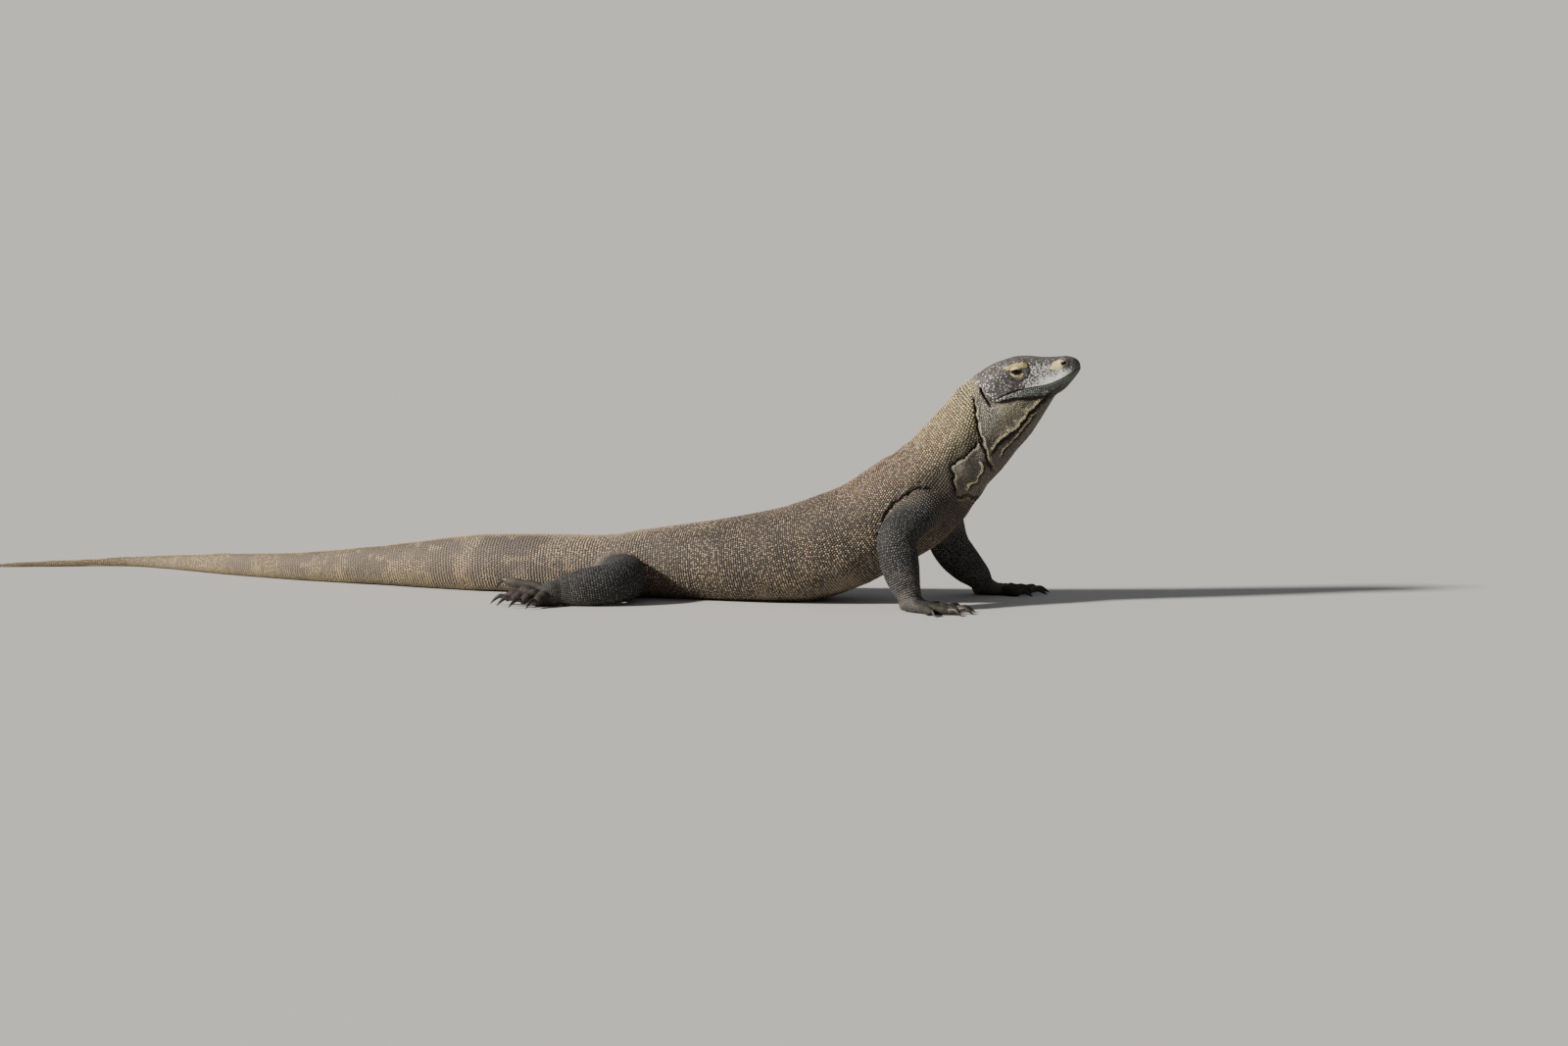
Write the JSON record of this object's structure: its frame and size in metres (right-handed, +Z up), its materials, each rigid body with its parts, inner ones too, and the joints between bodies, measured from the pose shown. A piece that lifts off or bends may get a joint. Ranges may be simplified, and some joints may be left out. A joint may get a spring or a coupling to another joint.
{
  "type": "komodo dragon",
  "caption": "Life-size still model of a large monitor lizard lying on its belly and tail, chest raised on its forelegs, head lifted, one hind foot turned back.",
  "frame": {"origin": "on the floor, at the middle of the flat under the belly", "axes": "+X forward along the trunk, +Y to the animal's left, +Z up"},
  "size_m": [2.377, 0.6488, 0.4976],
  "materials": {
    "head": "dark grey scales with pale specks",
    "neck": "yellow-cream beads in dark skin",
    "trunk": "dark brown-grey beads with tan dots",
    "tail": "grey-brown to tan-olive rings of scales",
    "leg": "dark slate scales with pale dots",
    "claw": "black horn",
    "eye": "wet dark brown"
  },
  "bodies": {
    "root": {"belly": "trunk", "breast": "trunk", "eye_left": "eye", "eye_right": "eye", "foreleg_left_forearm": "leg", "foreleg_left_hand": "leg", "foreleg_left_hand_claw_1": "claw", "foreleg_left_hand_claw_2": "claw", "foreleg_left_hand_claw_3": "claw", "foreleg_left_hand_claw_4": "claw", "foreleg_left_hand_claw_5": "claw", "foreleg_left_upper_arm": "leg", "foreleg_right_forearm": "leg", "foreleg_right_hand": "leg", "foreleg_right_hand_claw_1": "claw", "foreleg_right_hand_claw_2": "claw", "foreleg_right_hand_claw_3": "claw", "foreleg_right_hand_claw_4": "claw", "foreleg_right_hand_claw_5": "claw", "foreleg_right_upper_arm": "leg", "head": "head", "hindleg_left_foot": "leg", "hindleg_left_foot_claw_1": "claw", "hindleg_left_foot_claw_2": "claw", "hindleg_left_foot_claw_3": "claw", "hindleg_left_foot_claw_4": "claw", "hindleg_left_foot_claw_5": "claw", "hindleg_left_shank": "leg", "hindleg_left_thigh": "leg", "hindleg_right_foot": "leg", "hindleg_right_foot_claw_1": "claw", "hindleg_right_foot_claw_2": "claw", "hindleg_right_foot_claw_3": "claw", "hindleg_right_foot_claw_4": "claw", "hindleg_right_foot_claw_5": "claw", "hindleg_right_shank": "leg", "hindleg_right_thigh": "leg", "hips": "trunk", "lower_jaw": "head", "neck_lower": "neck", "neck_upper": "neck", "ribs": "trunk", "tail_end": "tail", "tail_middle": "tail", "tail_root": "tail", "tail_tip": "tail"}
  },
  "joints": []
}
